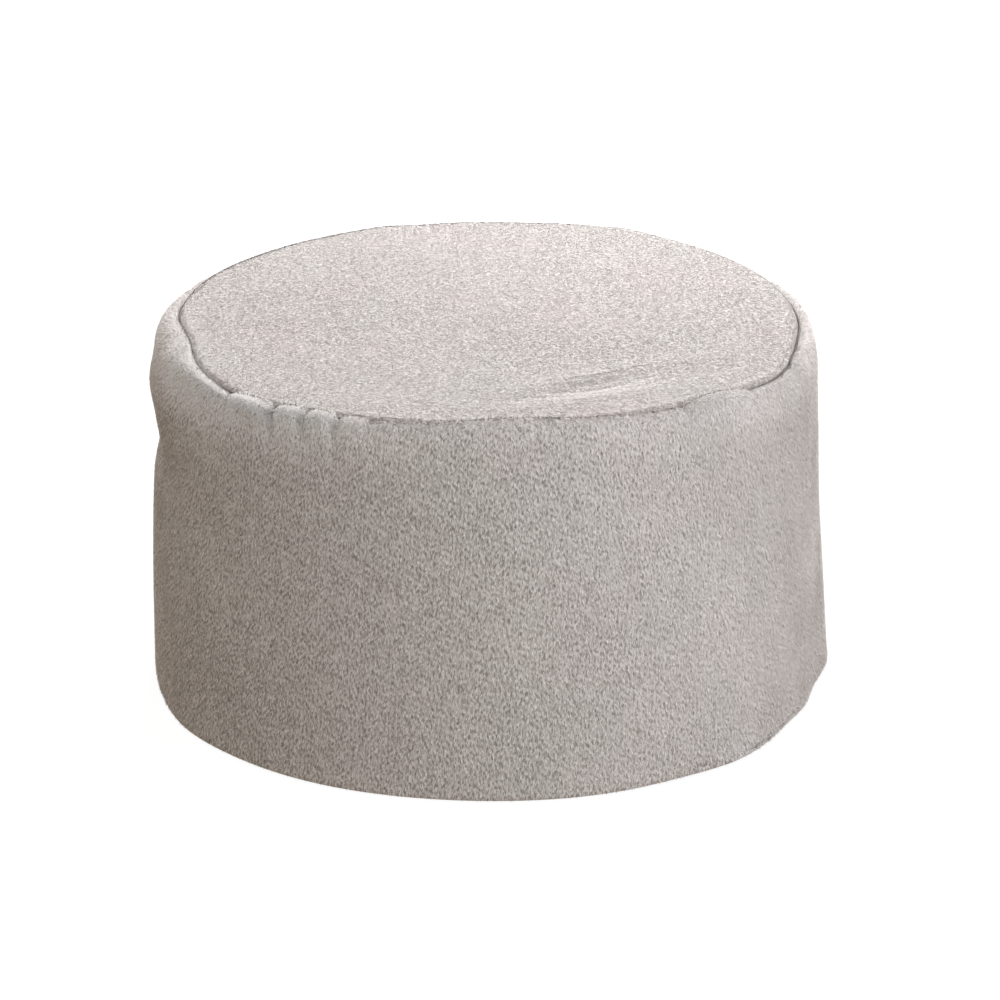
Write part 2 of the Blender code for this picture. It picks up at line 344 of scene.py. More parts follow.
# Painted shadow of the top seam's valley, which tells it from the pile beside it
SEAM_PAINTED_SHADOW = 1.0
SEAM_PAINTED_SHADOW_REACH = 0.0020
COVERED = 220               # how soon an overhanging gather hides that shade, for each metre of overhang
CLOSED_BEHIND = 1.0         # how much of it the pile hides round the back
BACK_STEEPNESS = 3          # how soon that sets in at the two sides

# Places of the top panel where the pile is brushed up and looks darker, and some where it is lighter; the
# lighter one at the back (0.015, 0.150) is painted light
TOP_NAP_AND_PAINTED_LIGHT = [  # x, y, spread_x, spread_y, shade
    (-0.195, -0.020, 0.040, 0.060, -0.20),
    (-0.120, 0.020, 0.060, 0.070, -0.12),
    (-0.150, 0.110, 0.060, 0.050, -0.26),
    (0.110, -0.093, 0.065, 0.022, -0.50),
    (0.190, -0.060, 0.045, 0.045, -0.50),
    (0.225, -0.030, 0.030, 0.050, -0.30),
    (-0.020, -0.100, 0.110, 0.030, -0.17),
    (0.040, -0.185, 0.120, 0.014, 0.03),
    (0.000, -0.224, 0.110, 0.012, -0.15),
    (0.015, 0.150, 0.050, 0.060, 0.16),
    (0.170, 0.120, 0.040, 0.040, -0.12),
]

# Lighter and darker patches of the side band; the rows on the crest (0.286, 0.292) are painted light
BAND_TONE_AND_PAINTED_LIGHT = [  # angle_deg, height, half_width_deg, half_height, shade
    (217, 0.055, 20, 0.055, -0.32),
    (240, 0.050, 16, 0.055, -0.16),
    (186, 0.100, 8, 0.050, 0.30),
    (218, 0.245, 10, 0.020, 0.12),
    (204, 0.286, 26, 0.026, 0.28),
    (232, 0.292, 14, 0.018, 0.22),
    (312, 0.262, 14, 0.016, -0.10),
    (318, 0.030, 16, 0.022, -0.10),
    (350, 0.160, 12, 0.110, 0.15),
]

# Places round the side band where its pile is ruffled, and where it lies smooth
RUFFLED = [  # angle_deg, half_width_deg, contrast
    (250, 50, 0.80),
    (220, 26, 0.60),
    (195, 30, 0.50),
    (325, 34, -0.38),
    (60, 60, 0.30),
]


def bell(offset, half_width):
    """A smooth hump, 1 in the middle and nearly 0 at twice its half width."""
    return np.exp(-0.5 * (offset / (BELL_WIDTH * half_width)) ** 2)


def turn(angle, middle):
    """Signed degrees from middle to angle, the short way round."""
    return (angle - middle + 180) % 360 - 180


def humps(angle, table):
    """The sum of a table's humps round the drum."""
    return sum(amount * bell(turn(angle, at), half) for at, half, amount in table)


def patches(angle, height, table):
    """The sum of a table's rounded patches of the side band."""
    return sum(
        amount * bell(turn(angle, at), half) * bell(height - level, tall)
        for at, level, half, tall, amount in table
    )


def polar(distance, angle):
    """(x, y) at a distance from the axis."""
    return distance * np.cos(np.radians(angle)), distance * np.sin(np.radians(angle))


def seam_radius(angle):
    return SEAM_RADIUS + sum(outwards * bell(turn(angle, at), half) for at, half, outwards, _ in SEAM_WANDER)


def seam_height(angle):
    lift = sum(upwards * bell(turn(angle, at), half) for at, half, _, upwards in SEAM_WANDER)
    return SEAM_HEIGHT + lift - SLOPE * polar(seam_radius(angle), angle)[1]


def foot_radius(angle):
    return FOOT_RADIUS - humps(angle, FOOT_PULLS)


def soft_gathers(angle):
    """How far the crest is lifted and the shoulder swollen."""
    rise = sum(up * bell(turn(angle, at), half) for at, half, up, _ in GATHERS)
    swell = sum(out * bell(turn(angle, at), half) for at, half, _, out in GATHERS)
    return rise, swell


def across_lobe(angle, start, end):
    """Where an angle lies across a tight gather: -1 at its start, 1 at its end."""
    return turn(angle, (start + end) / 2) / ((end - start) / 2)


def tight_gathers(angle):
    """How far the crest is lifted, leans in over the seam and bulges out: an arch over each gather."""
    form = 0
    for start, end, rise, overhang, swell in LOBES:
        arch = np.sqrt(np.maximum(0.0, 1 - across_lobe(angle, start, end) ** 2))
        form = form + arch * np.array([rise, overhang, swell]).reshape(3, 1)
    return form


def base_seam_height(angle):
    return BASE_SEAM_HEIGHT + BASE_SEAM_LIFT * bell(turn(angle, BASE_LIFT_ANGLE), BASE_LIFT_WIDTH)


def foot_rings(angle):
    """(radius, height) of the side band where it rounds the edge of the base panel."""
    low = base_seam_height(angle)
    seam = foot_radius(angle) - BASE_SEAM_INSET
    rounding = [(seam + out * BASE_SEAM_INSET, low + up * CLOTH) for out, up in FOOT_ROUND]
    return [(seam + GAP, low - CLOTH + GAP)] + rounding


def wall_rings(angle, shares, degrees, lip):
    """(radius, height) of the side band up the wall at these shares of its height, over the shoulder at these
    degrees of its turn, and from the crest down to the top seam at these degrees of its lip."""
    foot = foot_radius(angle)
    rise, swell = soft_gathers(angle)
    lift, overhang, bulge = tight_gathers(angle)
    low = seam_height(angle)
    crest = low + CREST_RISE + rise + lift
    drop = SHOULDER_DROP - FRONT_DROP * bell(turn(angle, FRONT_ANGLE), FRONT_WIDTH)
    turn_in = crest - drop
    seam = seam_radius(angle)
    inner = seam + CREST_INSET - overhang
    rings = []
    for share in shares:
        height = FOOT_HEIGHT + share * (turn_in - FOOT_HEIGHT)
        rings.append((foot + share * (SHOULDER_RADIUS - foot) + share**SWELL_POWER * swell, height))
    for degree in degrees:
        out, up = polar(1, degree)
        rings.append((inner + (SHOULDER_RADIUS + swell - inner) * out, turn_in + drop * up))
    for degree in lip:
        over, inwards = polar(1, degree)
        rings.append((inner - inwards * (inner - seam - GAP), low + over * (crest - low)))
    return [
        (r + bulge * bell(crest - z, LOBE_FADE) * (r > inner) - patches(angle, z, HOLLOWS), z)
        for r, z in rings
    ]


def top_height(angle, distance):
    """Upper face of the top panel: it rolls up out of the seam, then rises to its crown."""
    seam = seam_radius(angle)
    share = distance / seam
    level = SEAM_HEIGHT + share**CROWN_POWER * (seam_height(angle) - SEAM_HEIGHT)
    puff = PUFF + share**PUFF_POWER * humps(angle, TOP_PUFFS)
    height = CROWN_RISE * (1 - share**CROWN_POWER)
    for middle, far, along, across, depth in DIMPLES:
        outwards, sideways = polar(distance, angle - middle)
        height = height - depth * bell(sideways, along) * bell(outwards - far, across)
    tilt = np.maximum(0.0, 1 - (seam - distance) / ROLL)
    return level + (puff + height) * np.sqrt(np.maximum(0.0, 1 - tilt**2))


def top_rings(angle, drop):
    """(radius, height) of the top panel's upper face, from its rim nearly to its middle, moved in by drop."""
    rim = seam_radius(angle) - GAP
    rings = []
    for share in ROLL_SHARES:
        inset = ROLL * share
        rings.append((rim - inset - drop * (1 - share), top_height(angle, rim - inset) - drop))
    for share in TOP_SHARES:
        inset = ROLL + share * (rim - ROLL)
        rings.append((rim - inset, top_height(angle, rim - inset) - drop))
    return rings


def base_rings(angle, shares, lift):
    """(radius, height) of the base panel's underside at these shares of its radius, raised by lift."""
    rim = foot_radius(angle) - BASE_SEAM_INSET - GAP
    flat = foot_radius(angle) - BASE_FLAT_INSET
    low = base_seam_height(angle) - CLOTH
    rings = []
    for share in shares:
        climb = np.maximum(0.0, (share * rim - flat) / (rim - flat))
        rings.append((share * rim, low * climb**2 + lift))
    return rings


def columns():
    """The angle of each column of the cloth."""
    return np.concatenate([start + (end - start) * np.arange(steps) / steps for start, end, steps in SECTORS])


def surface(rings):
    """Rings of (radius, height), one value a column, as a grid of points."""
    rows = []
    for radius, height in rings:
        x, y = polar(radius, angle_of_column)
        rows.append(np.stack([x + LEAN * height, y, height + 0 * x], -1))
    return np.array(rows)


def unit(v):
    return v / np.maximum(np.linalg.norm(v, axis=-1, keepdims=True), 1e-12)


def directions(grid):
    """Unit vectors round and along a grid, and out of it, at each of its points."""
    around = unit(np.roll(grid, -1, 1) - np.roll(grid, 1, 1))
    along = unit(np.gradient(grid, axis=0))
    return around, along, unit(np.cross(around, along))


def sink(grid, depth):
    """The grid moved in under its surface by a depth, the same everywhere or one for each point."""
    return grid - directions(grid)[2] * np.broadcast_to(depth, grid.shape[:2])[..., None]


def angle_round(place):
    """A point's angle round the drum's leaning axis, in degrees."""
    return np.degrees(np.arctan2(place[..., 1], place[..., 0] - LEAN * place[..., 2])) % 360


def seam_distance(place):
    """How far a point is from the top seam's stitches."""
    angle = angle_round(place)
    radius = np.hypot(place[..., 1], place[..., 0] - LEAN * place[..., 2])
    return np.hypot(radius - seam_radius(angle), place[..., 2] - seam_height(angle))


def closeness(place, reach):
    """1 at the top seam's stitches, fading out over that reach."""
    return np.exp(-((seam_distance(place) / reach) ** 2))


def painted_seam_shadow(place):
    """How dark the painted shadow of the seam's valley is at a point: less under a leaning tight gather, none
    at the back.
    """
    angle = angle_round(place)
    open_share = np.maximum(0.0, 1 - COVERED * tight_gathers(angle)[1])
    behind = np.clip(BACK_STEEPNESS * np.sin(np.radians(angle)) + 0.5, 0, 1)
    open_share = open_share * (1 - CLOSED_BEHIND * behind)
    return SEAM_PAINTED_SHADOW * closeness(place, SEAM_PAINTED_SHADOW_REACH) * open_share


def tuck(place):
    """Depth of the narrow creases at a point of the side band."""
    angle = angle_round(place)
    below = np.maximum(0.0, SEAM_HEIGHT + CREST_RISE - place[..., 2])
    return sum(deep * bell(turn(angle, at), half) * bell(below, long) for at, half, deep, long in TUCKS)


def drift(place, size, rng, waves=14):
    """Smooth noise over points, with features about that size across and a spread of about 1."""
    total = np.zeros(len(place))
    for _ in range(waves):
        heading = unit(rng.normal(size=place.shape[-1])) * 2 * math.pi / (size * rng.uniform(*WAVE_LENGTHS))
        total += np.cos(place @ heading + rng.uniform(0, 2 * math.pi))
    return total * math.sqrt(2 / waves)


def finer(moves, rings, around):
    """Moves of every second ring and column, spread smoothly over all of them."""
    ring, column = np.arange(rings) / 2, np.arange(around) / 2
    low, left = ring.astype(int), column.astype(int)
    high, right = np.minimum(low + 1, len(moves) - 1), (left + 1) % moves.shape[1]
    up, over = (ring - low)[:, None, None], (column - left)[None, :, None]
    below = moves[low][:, left] * (1 - over) + moves[low][:, right] * over
    above = moves[high][:, left] * (1 - over) + moves[high][:, right] * over
    return below * (1 - up) + above * up


def quads(index):
    """Faces between neighbouring rings of points, all the way round."""
    beside = np.roll(index, -1, 1)
    return np.stack([index[:-1], beside[:-1], beside[1:], index[1:]], -1).reshape(-1, 4).tolist()


def pressed_out(grid):
    """The side band as its filling presses it out, held at both seams and let go a little under its form."""
    rings, around = grid.shape[:2]
    ring = np.arange(rings)
    from_foot = ring / FOOT_FADE - FOOT_HELD
    from_seam = (rings - 1 - ring) / CREST_FADE - CREST_HELD
    free = np.clip(np.minimum(from_foot, from_seam), 0, 1)[:, None]
    start = sink(grid, SLACK * free)
    coarse = start[::2, ::2]
    index = np.arange(coarse[..., 0].size).reshape(coarse.shape[:2])
    data = bpy.data.meshes.new("pressed band")
    data.from_pydata(coarse.reshape(-1, 3).tolist(), [], quads(index))
    cloth = bpy.data.objects.new("pressed band", data)
    bpy.context.scene.collection.objects.link(cloth)
    seams = cloth.vertex_groups.new(name="seams")
    seams.add([int(point) for point in index[[0, 1, -2, -1]].ravel()], 1.0, "REPLACE")
    settings = cloth.modifiers.new("filling", "CLOTH").settings
    settings.vertex_group_mass = "seams"
    settings.use_pressure = True
    settings.uniform_pressure_force = PRESSURE
    settings.effector_weights.gravity = 0
    for step in range(1, PRESS_FRAMES + 1):
        bpy.context.scene.frame_set(step)
    shown = cloth.evaluated_get(bpy.context.evaluated_depsgraph_get()).data
    places = np.empty(coarse.size, np.float32)
    shown.vertices.foreach_get("co", places)
    moves = places.reshape(coarse.shape) - coarse
    moved = np.linalg.norm(moves, axis=-1, keepdims=True)
    moves = moves * np.minimum(1.0, MOST_MOVED / np.maximum(moved, 1e-9))
    bpy.data.objects.remove(cloth)
    bpy.data.meshes.remove(data)
    bpy.context.scene.frame_set(1)
    return start + free[..., None] * finer(moves, rings, around)


angle_of_column = columns()
band_faces = foot_rings(angle_of_column)
band_faces += wall_rings(angle_of_column, WALL_SHARES, SHOULDER_DEGREES, LIP_DEGREES)
band = pressed_out(surface(band_faces))
top = surface(top_rings(angle_of_column, 0))
band_bed = sink(band, BAND_PILE * (1 - SEAM_THINNING * closeness(band, THIN_REACH)) + tuck(band))
top_bed = sink(top, TOP_PILE * (1 - SEAM_THINNING * closeness(top, THIN_REACH)))


class Wire:
    """A node's output that takes part in sums: each operator adds its Math node."""

    def __init__(self, look, socket):
        self.look, self.socket = look, socket

    def sum(self, operation, first, second):
        return self.look.add("ShaderNodeMath", {"operation": operation}, {0: first, 1: second})

    def __add__(self, other):
        return self.sum("ADD", self, other)

    def __radd__(self, other):
        return self.sum("ADD", other, self)

    def __sub__(self, other):
        return self.sum("SUBTRACT", self, other)

    def __rsub__(self, other):
        return self.sum("SUBTRACT", other, self)

    def __mul__(self, other):
        return self.sum("MULTIPLY", self, other)

    def __rmul__(self, other):
        return self.sum("MULTIPLY", other, self)


class Look:
    """A material and its nodes. What is the same all over the surface is set on the shader's own sockets."""

    def __init__(self, name, **constants):
        self.material = bpy.data.materials.new(name)
        self.material.use_nodes = True
        self.tree = self.material.node_tree
        self.shader = self.tree.nodes["Principled BSDF"]
        for socket, value in constants.items():
            self.shader.inputs[socket.replace("_", " ")].default_value = value

    def add(self, kind, settings=None, sockets=None, output=0):
        """A node of that type, with its settings first and then the values or links of its sockets."""
        node = self.tree.nodes.new(kind)
        for name, value in (settings or {}).items():
            if name == "stops":
                ramp = node.color_ramp.elements
                while len(ramp) < len(value):
                    ramp.new(1.0)
                for stop, (place, colour) in zip(ramp, value):
                    stop.position, stop.color = place, (*colour, 1)
            else:
                setattr(node, name, value)
        for name, value in (sockets or {}).items():
            self.join(value, node.inputs[name])
        return Wire(self, node.outputs[output])

    def join(self, value, socket):
        if isinstance(value, Wire):
            self.tree.links.new(value.socket, socket)
        else:
            socket.default_value = value

    def noise(self, scale, detail=2.0, stretch=(1, 1, 1), roughness=0.5):
        """Noise fixed to the object, with a feature about 1 / scale metres across."""
        place = self.add("ShaderNodeTexCoord", output="Object")
        place = self.add("ShaderNodeVectorMath", {"operation": "MULTIPLY"}, {0: place, 1: stretch})
        sockets = {"Vector": place, "Scale": scale, "Detail": detail, "Roughness": roughness}
        return self.add("ShaderNodeTexNoise", {}, sockets)

    def spread(self, value, low, high):
        """A value from low to high as 0 to 1, held there beyond them."""
        sockets = {"Value": value, "From Min": low, "From Max": high}
        return self.add("ShaderNodeMapRange", {}, sockets)

    def mix(self, share, first, second):
        return self.add("ShaderNodeMix", {"data_type": "RGBA"}, {"Factor": share, 6: first, 7: second}, 2)

    def attribute(self, name):
        return self.add("ShaderNodeAttribute", {"attribute_name": name}, output="Fac")


def rgb(*colour):
    return (*colour, 1)


# Fibre colours of the plush; the darkest is no fibre but the painted shadow of the seam's valley
PEARL = (0.860, 0.825, 0.795)
GREIGE = (0.640, 0.598, 0.566)
TAUPE = (0.225, 0.192, 0.168)
SEAM_SHADOW_UMBER = (0.045, 0.036, 0.030)
ROSE = (0.660, 0.602, 0.580)
SAGE = (0.635, 0.620, 0.578)
TINT = 0.22                 # how much of rose or sage there is
TINT_SCALE = 14
TINT_LOW, TINT_HIGH = 0.36, 0.64

# Finish of the plush, the same all over it
PLUSH = {"Sheen_Weight": 0.20, "Sheen_Roughness": 0.5, "Specular_IOR_Level": 0.15}
BAND_ROOT_PAINTED_SHADE = 0.27           # painted shade: how much darker a stroke is painted at its root, down in the pile
TOP_ROOT_PAINTED_SHADE = 0.08
ROOT_LENGTH = 0.6           # how far up that shows, as a share of the stroke
PILE_ROUGHNESS, PALE_SMOOTHER = 0.95, 0.18      # of the darkest strokes, and how much less the palest have

# The backing's fine speckle and raised fibres
SPECKLE_SCALE, SPECKLE_DETAIL, SPECKLE_ROUGHNESS = 620, 3, 0.7
SPECKLE_LOW, SPECKLE_HIGH = 0.30, 0.72
# Painted shade: the backing is darker by this share, shaded by the pile over it
BACKING_PAINTED_SHADE = 0.8
BACKING_ROUGHNESS, FIBRES_ROUGHER = 0.82, 0.14
FIBRE_HEIGHT, FIBRE_STRENGTH = 0.0008, 0.5


def heather(look, strand):
    """The plush's mixed fibre colours, drifting slowly towards rose and sage."""
    stops = [(0.0, TAUPE), (0.5, GREIGE), (1.0, PEARL)]
    fibre = look.add("ShaderNodeValToRGB", {"stops": stops}, {"Fac": strand})
    drifting = look.spread(look.noise(TINT_SCALE), TINT_LOW, TINT_HIGH)
    return look.mix(TINT, fibre, look.mix(drifting, rgb(*ROSE), rgb(*SAGE)))


def pile_look(name, painted_root_shade):
    """Loose tufts, with painted shade that darkens each stroke towards its root by that share, and painted
    shadow on the ones down in a seam.
    """
    look = Look(name, **PLUSH)
    colour = heather(look, look.attribute("strand"))
    up_the_stroke = look.spread(look.attribute("reach"), 0.0, ROOT_LENGTH)
    # Painted shade: each stroke darker towards its root, down in the pile
    colour = look.mix(painted_root_shade - painted_root_shade * up_the_stroke, colour, rgb(*TAUPE))
    # Painted shadow of the seam's valley
    colour = look.mix(look.attribute("seam"), colour, rgb(*SEAM_SHADOW_UMBER))
    look.join(colour, look.shader.inputs["Base Color"])
    roughness = PILE_ROUGHNESS - PALE_SMOOTHER * look.attribute("strand")
    look.join(roughness, look.shader.inputs["Roughness"])
    return look.material


def backing_look(name, stretch):
    """The cloth between the tufts: fine speckle with raised fibres, darkened as painted shade under the pile,
    and painted shadow in the seam's valley.
    """
    look = Look(name, **PLUSH)
    speckle = look.noise(SPECKLE_SCALE, SPECKLE_DETAIL, stretch, SPECKLE_ROUGHNESS)
    colour = heather(look, look.spread(speckle, SPECKLE_LOW, SPECKLE_HIGH) * BACKING_PAINTED_SHADE)
    # Painted shadow of the seam's valley
    colour = look.mix(look.attribute("seam"), colour, rgb(*SEAM_SHADOW_UMBER))
    look.join(colour, look.shader.inputs["Base Color"])
    look.join(BACKING_ROUGHNESS + FIBRES_ROUGHER * speckle, look.shader.inputs["Roughness"])
    raised = {"Height": speckle, "Strength": FIBRE_STRENGTH, "Distance": FIBRE_HEIGHT}
    look.join(look.add("ShaderNodeBump", {}, raised), look.shader.inputs["Normal"])
    return look.material


def mesh_object(name, points, faces, material, smooth=True):
    data = bpy.data.meshes.new(name)
    data.from_pydata(points, [], faces)
    if smooth:
        data.shade_smooth()
    data.materials.append(material)
    piece = bpy.data.objects.new(name, data)
    bpy.context.scene.collection.objects.link(piece)
    return piece


def at_points(data, name, values):
    """A number for each point of a mesh, which its look reads by name."""
    values = np.asarray(values, np.float32).ravel()
    data.attributes.new(name, "FLOAT", "POINT").data.foreach_set("value", values)


def loft(name, grid, low, high, material):
    """A closed piece: the grid's rings in order, closed by a point below the first and above the last."""
    rings, around = grid.shape[:2]
    index = np.arange(rings * around).reshape(rings, around)
    beside = np.roll(index, -1, 1)
    first, last = rings * around, rings * around + 1
    faces = quads(index)
    faces += [(first, b, a) for a, b in zip(index[0].tolist(), beside[0].tolist())]
    faces += [(last, a, b) for a, b in zip(index[-1].tolist(), beside[-1].tolist())]
    points = np.concatenate([grid.reshape(-1, 3), [low, high]])
    piece = mesh_object(name, points.tolist(), faces, material)
    # Painted shadow of the seam's valley, read by the backing's look
    at_points(piece.data, "seam", painted_seam_shadow(points))
    return piece


def axis_point(height):
    return (LEAN * height, 0.0, height)


class Tufts:
    """Random places over a grid's area, even or by each cell's share, with the cloth's directions."""

    def __init__(self, grid, count, rng, share=1.0):
        edge = np.roll(grid, -1, 1) - grid
        width = np.linalg.norm(edge, axis=-1)
        narrowing = width[1:] / width[:-1]
        narrowing = np.where(abs(narrowing - 1) < NEARLY_EVEN, 1 + NEARLY_EVEN, narrowing)
        area = np.linalg.norm(np.cross(edge[:-1], grid[1:] - grid[:-1]), axis=-1)
        area = area * (1 + narrowing) / 2 * share
        total = np.cumsum(area.ravel())
        cell = np.minimum(np.searchsorted(total, rng.random(count) * total[-1]), area.size - 1)
        self.ring, self.column = np.divmod(cell, grid.shape[1])
        self.u, self.v = rng.random((2, count, 1))
        narrowing = narrowing.ravel()[cell][:, None]
        self.v = (1 - np.sqrt(1 - (1 - narrowing**2) * self.v)) / (1 - narrowing)
        _, along, out = directions(grid)
        self.place = self.between(grid)
        self.along = unit(self.between(along))
        self.out = unit(self.between(out))
        self.angle = angle_round(self.place)
        self.count = count

    def between(self, field):
        beside = (self.column + 1) % field.shape[1]
        low = field[self.ring, self.column] * (1 - self.u) + field[self.ring, beside] * self.u
        high = field[self.ring + 1, self.column] * (1 - self.u) + field[self.ring + 1, beside] * self.u
        return low * (1 - self.v) + high * self.v

    def comb(self, heading, degrees):
        """Lays the pile so many degrees to the side of a heading."""
        heading = unit(heading - self.out * np.sum(heading * self.out, -1, keepdims=True))
        turned = np.radians(degrees)[:, None]
        self.lay = heading * np.cos(turned) + np.cross(self.out, heading) * np.sin(turned)


def fluffed(tufts):
    """How much the side band's pile stands up at each tuft."""
    angle = tufts.angle
    crest = seam_height(angle) + CREST_RISE + soft_gathers(angle)[0] + tight_gathers(angle)[0]
    return humps(angle, FLUFFED) * bell(crest - tufts.place[:, 2], FLUFF_HEIGHT)


def pile(name, tufts, length, width, rise, tilt, strand, look):
    """Short pile, in pieces: each tuft is a flat stroke, wide at its root, that ends in a raised tip."""
    order = np.argsort(tufts.angle)
    for k, part in enumerate(np.array_split(order, math.ceil(tufts.count / STROKES_A_PIECE))):
        out, lay, root = tufts.out[part], tufts.lay[part], tufts.place[part]
        across = np.cross(out, lay) * width[part, None] / 2
        foot = root - out * ROOT_DEPTH
        tip = root + lay * length[part, None] + out * rise[part, None]
        points = np.stack([foot + across, foot - across, tip], 1)
        points[..., 2] = np.maximum(points[..., 2], FLOOR_CLEARANCE)
        out = unit(out + tufts.upright[part, None] * [0, 0, 1])
        lean = unit(out + tilt[part, :1] * lay + tilt[part, 1:] * np.cross(out, lay))
        normals = np.stack([out, out, lean], 1)
        count = len(part)
        data = bpy.data.meshes.new(name)
        data.vertices.add(count * 3)
        data.vertices.foreach_set("co", points.astype(np.float32).ravel())
        data.loops.add(count * 3)
        data.loops.foreach_set("vertex_index", np.arange(count * 3, dtype=np.int32))
        data.polygons.add(count)
        data.polygons.foreach_set("loop_start", np.arange(count, dtype=np.int32) * 3)
        data.update(calc_edges=True)
        data.shade_smooth()
        at_points(data, "strand", np.repeat(strand[part], 3))
        at_points(data, "reach", np.tile([0.0, 0.0, 1.0], count))
        # Painted shadow of the seam's valley
        at_points(data, "seam", painted_seam_shadow(points.reshape(-1, 3)))
        own_map(data, count)
        data.normals_split_custom_set_from_vertices(normals.reshape(-1, 3).astype(np.float32))
        data.materials.append(look)
        piece = bpy.data.objects.new(f"{name}_{k + 1}", data)
        bpy.context.scene.collection.objects.link(piece)
        finish_piece(piece)


def own_map(data, count):
    """Each stroke's own small square of the map, so that its colours bake apart from its neighbours'."""
    side = math.ceil(math.sqrt(count))
    row, column = np.divmod(np.arange(count), side)
    leaf = np.array([[0.88, 0.15], [0.12, 0.15], [0.5, 0.88]])
    uv = (np.stack([column, row], -1)[:, None, :] + leaf) / side
    data.uv_layers.new(name="OFBake").data.foreach_set("uv", uv.astype(np.float32).ravel())


def finish_piece(piece):
    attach(piece, "root")


band_pile_look = pile_look("band pile", BAND_ROOT_PAINTED_SHADE)
top_pile_look = pile_look("top pile", TOP_ROOT_PAINTED_SHADE)
band_backing = backing_look("band backing", (1, 1, 0.35))
top_backing = backing_look("top backing", (0.5, 1, 1))
base_backing = backing_look("base backing", (1, 1, 1))

# Cloth over the filled drum
under = surface(base_rings(angle_of_column, BASE_SHARES, CLOTH + GAP))
ledge = surface([(seam_radius(angle_of_column) + GAP, seam_height(angle_of_column) - CLOTH - GAP)])
over = surface(top_rings(angle_of_column, CLOTH + GAP))
drum = np.concatenate([under, band_bed, ledge, over])
crown = float(top_height(0.0, 0.0))
drum_low, drum_high = axis_point(CLOTH + GAP), axis_point(crown - CLOTH - GAP)
band_piece = loft("side_band_cloth", drum, drum_low, drum_high, band_backing)
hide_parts("side_band")
finish_piece(band_piece)

top_sheet = np.concatenate([surface(top_rings(angle_of_column, CLOTH))[::-1], top_bed])
sheet_low, sheet_high = axis_point(crown - CLOTH), axis_point(crown - TOP_PILE)
top_piece = loft("top_panel_cloth", top_sheet, sheet_low, sheet_high, top_backing)
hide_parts("top_panel")
finish_piece(top_piece)

base = surface(base_rings(angle_of_column, BASE_SHARES, 0))
base_sheet = np.concatenate([base, (base + [0, 0, CLOTH])[::-1]])
base_piece = loft("base_panel_cloth", base_sheet, axis_point(0), axis_point(CLOTH), base_backing)
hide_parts("base_panel")
finish_piece(base_piece)


def fan(tufts):
    """Degrees by which the pile spreads to the two sides below each tight gather."""
    below = np.maximum(0.0, SEAM_HEIGHT + CREST_RISE - tufts.place[:, 2])
    spread = 0
    for start, end, *_ in LOBES:
        across = across_lobe(tufts.angle, start, end)
        spread = spread + across * np.exp(-(across**2)) * bell(below, FAN_LENGTH)
    return FAN_DEGREES * spread


few = 1.0
stout = 1 / math.sqrt(few)

# Side band: its pile is brushed down, ruffled at the front left and smoother at the right
rng = np.random.default_rng(SEED)
tufts = Tufts(band_bed, int(BAND_STROKES * few), rng)
stray = rng.normal(0, BAND_STRAY, tufts.count)
tufts.comb(-tufts.along, stray + BAND_SWIRL * drift(tufts.place, BAND_SWIRL_WIDTH, rng) + fan(tufts))
tufts.upright = fluffed(tufts)
ruffle = (RUFFLE + humps(tufts.angle, RUFFLED)) * (1 - FLUFF_CALM * np.minimum(1.0, tufts.upright))
cloth_place = np.stack([FOOT_RADIUS * np.radians(tufts.angle), GRAIN_STRETCH * tufts.place[:, 2]], -1)
flecks = BAND_FLECKS * rng.normal(size=tufts.count)
strand = BAND_SHADE + ruffle * (flecks + BAND_CLUMPS * drift(cloth_place, GRAIN, rng, GRAIN_WAVES))
# Patches of tone, and painted shade in the tucks
strand = strand + BAND_PATCHES * drift(tufts.place, PATCH, rng) - TUCK_PAINTED_SHADE * tuck(tufts.place)
# Lighter and darker patches, with painted light along the crest
strand = strand + patches(tufts.angle, tufts.place[:, 2], BAND_TONE_AND_PAINTED_LIGHT)
# Painted light where the pile stands up at the crest
strand = np.clip(strand + CREST_PAINTED_LIGHT * tufts.upright, 0, 1)
length = rng.uniform(*BAND_LENGTH, tufts.count)
width = rng.uniform(*BAND_WIDTH, tufts.count) * stout
rise = rng.uniform(*BAND_RISE, tufts.count) * BAND_PILE
tilt = rng.normal(0, BAND_TILT, (tufts.count, 2)) * ruffle[:, None]
pile("band_pile", tufts, length, width, rise, tilt, strand, band_pile_look)

# Top panel: its pile lies flat, towards the front and a little to the right
tufts = Tufts(top_bed, int(TOP_STROKES * few), rng)
east, north = tufts.place[:, 0], tufts.place[:, 1]
nap_and_painted_light = sum(
    shade * bell(east - x, spread_x / BELL_WIDTH) * bell(north - y, spread_y / BELL_WIDTH)
    for x, y, spread_x, spread_y, shade in TOP_NAP_AND_PAINTED_LIGHT
)
tufts.upright = ROLL_FLUFF * closeness(tufts.place, ROLL_FLUFF_REACH)
dark = closeness(tufts.place, DARK_REACH) * bell(turn(tufts.angle, DARK_ANGLE), DARK_WIDTH)
rough = np.maximum(0, -nap_and_painted_light) + DARK_ROUGHNESS * dark
outwards = tufts.place * [1, 1, 0] / SEAM_RADIUS
rolled = closeness(tufts.place, ROLLED_REACH)
stray = rng.normal(0, TOP_STRAY, tufts.count)
heading = np.array(TOP_LAY) + DARK_COMB * dark[:, None] * outwards
tufts.comb(heading, stray + TOP_SWIRL * drift(tufts.place, TOP_SWIRL_WIDTH, rng))
flecks = TOP_FLECKS * rng.normal(size=tufts.count)
speckle = flecks + TOP_CLUMPS * drift(tufts.place, TOP_GRAIN, rng, GRAIN_WAVES)
strand = TOP_SHADE + (SMOOTH_SPECKLE + ROUGH_SPECKLE * rough) * speckle
# Brushed patches with painted light at the back, and painted shade beside the seam at the front left
strand = strand + NAP_AND_LIGHT_STRENGTH * nap_and_painted_light - SEAM_SIDE_PAINTED_SHADE * dark
